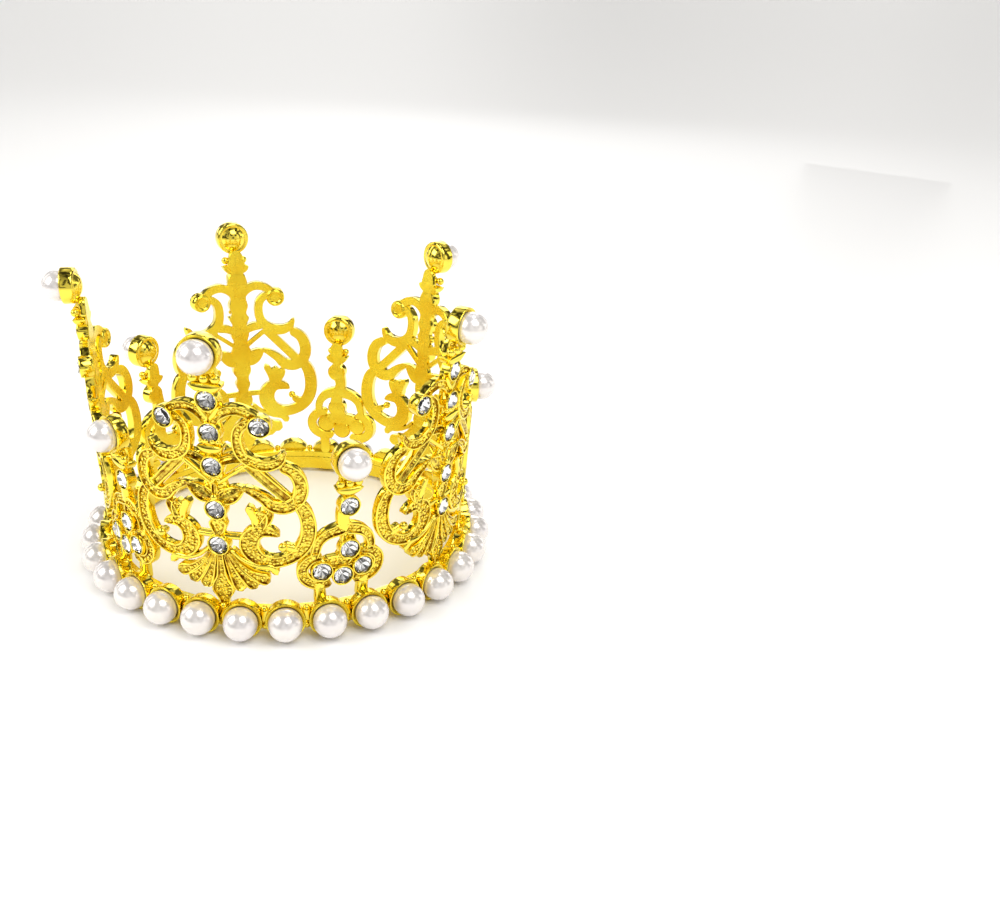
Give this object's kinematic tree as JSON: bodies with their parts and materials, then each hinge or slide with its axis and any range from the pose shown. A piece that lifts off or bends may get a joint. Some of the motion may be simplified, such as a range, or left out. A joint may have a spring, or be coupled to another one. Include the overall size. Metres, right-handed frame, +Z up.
{
  "type": "pearl crown",
  "caption": "Round openwork crown with a band of pearl cups and alternating tall and short scrolled peaks, each tipped with a pearl; worn on the hair or set on a cake.",
  "frame": {"origin": "centre of the ring, on the plane that the bottoms of the pearl cups rest on", "axes": "+Z up along the axis of the ring; -Y through the middle of tall_peak_1"},
  "size_m": [0.1, 0.1021, 0.0691],
  "materials": {
    "gold": "bright gold electroplate on cast zinc alloy",
    "pearl": "pearlescent lacquer",
    "crystal": "polished facets, foiled back"
  },
  "bodies": {
    "root": {"base_band": "gold", "base_pearl_1": "pearl", "base_pearl_2": "pearl", "base_pearl_3": "pearl", "base_pearl_4": "pearl", "base_pearl_5": "pearl", "base_pearl_6": "pearl", "base_pearl_7": "pearl", "base_pearl_8": "pearl", "base_pearl_9": "pearl", "base_pearl_10": "pearl", "base_pearl_11": "pearl", "base_pearl_12": "pearl", "base_pearl_13": "pearl", "base_pearl_14": "pearl", "base_pearl_15": "pearl", "base_pearl_16": "pearl", "base_pearl_17": "pearl", "base_pearl_18": "pearl", "base_pearl_19": "pearl", "base_pearl_20": "pearl", "base_pearl_21": "pearl", "base_pearl_22": "pearl", "base_pearl_23": "pearl", "base_pearl_24": "pearl", "base_pearl_25": "pearl", "base_pearl_26": "pearl", "base_pearl_27": "pearl", "base_pearl_28": "pearl", "base_pearl_29": "pearl", "base_pearl_30": "pearl", "tall_peak_1": "gold", "crest_stone_1": "crystal", "tall_tip_pearl_1": "pearl", "short_peak_1": "gold", "short_tip_pearl_1": "pearl", "tall_peak_2": "gold", "crest_stone_2": "crystal", "tall_tip_pearl_2": "pearl", "short_peak_2": "gold", "short_tip_pearl_2": "pearl", "tall_peak_3": "gold", "crest_stone_3": "crystal", "tall_tip_pearl_3": "pearl", "short_peak_3": "gold", "short_tip_pearl_3": "pearl", "tall_peak_4": "gold", "crest_stone_4": "crystal", "tall_tip_pearl_4": "pearl", "short_peak_4": "gold", "short_tip_pearl_4": "pearl", "tall_peak_5": "gold", "crest_stone_5": "crystal", "tall_tip_pearl_5": "pearl", "short_peak_5": "gold", "short_tip_pearl_5": "pearl"}
  },
  "joints": []
}
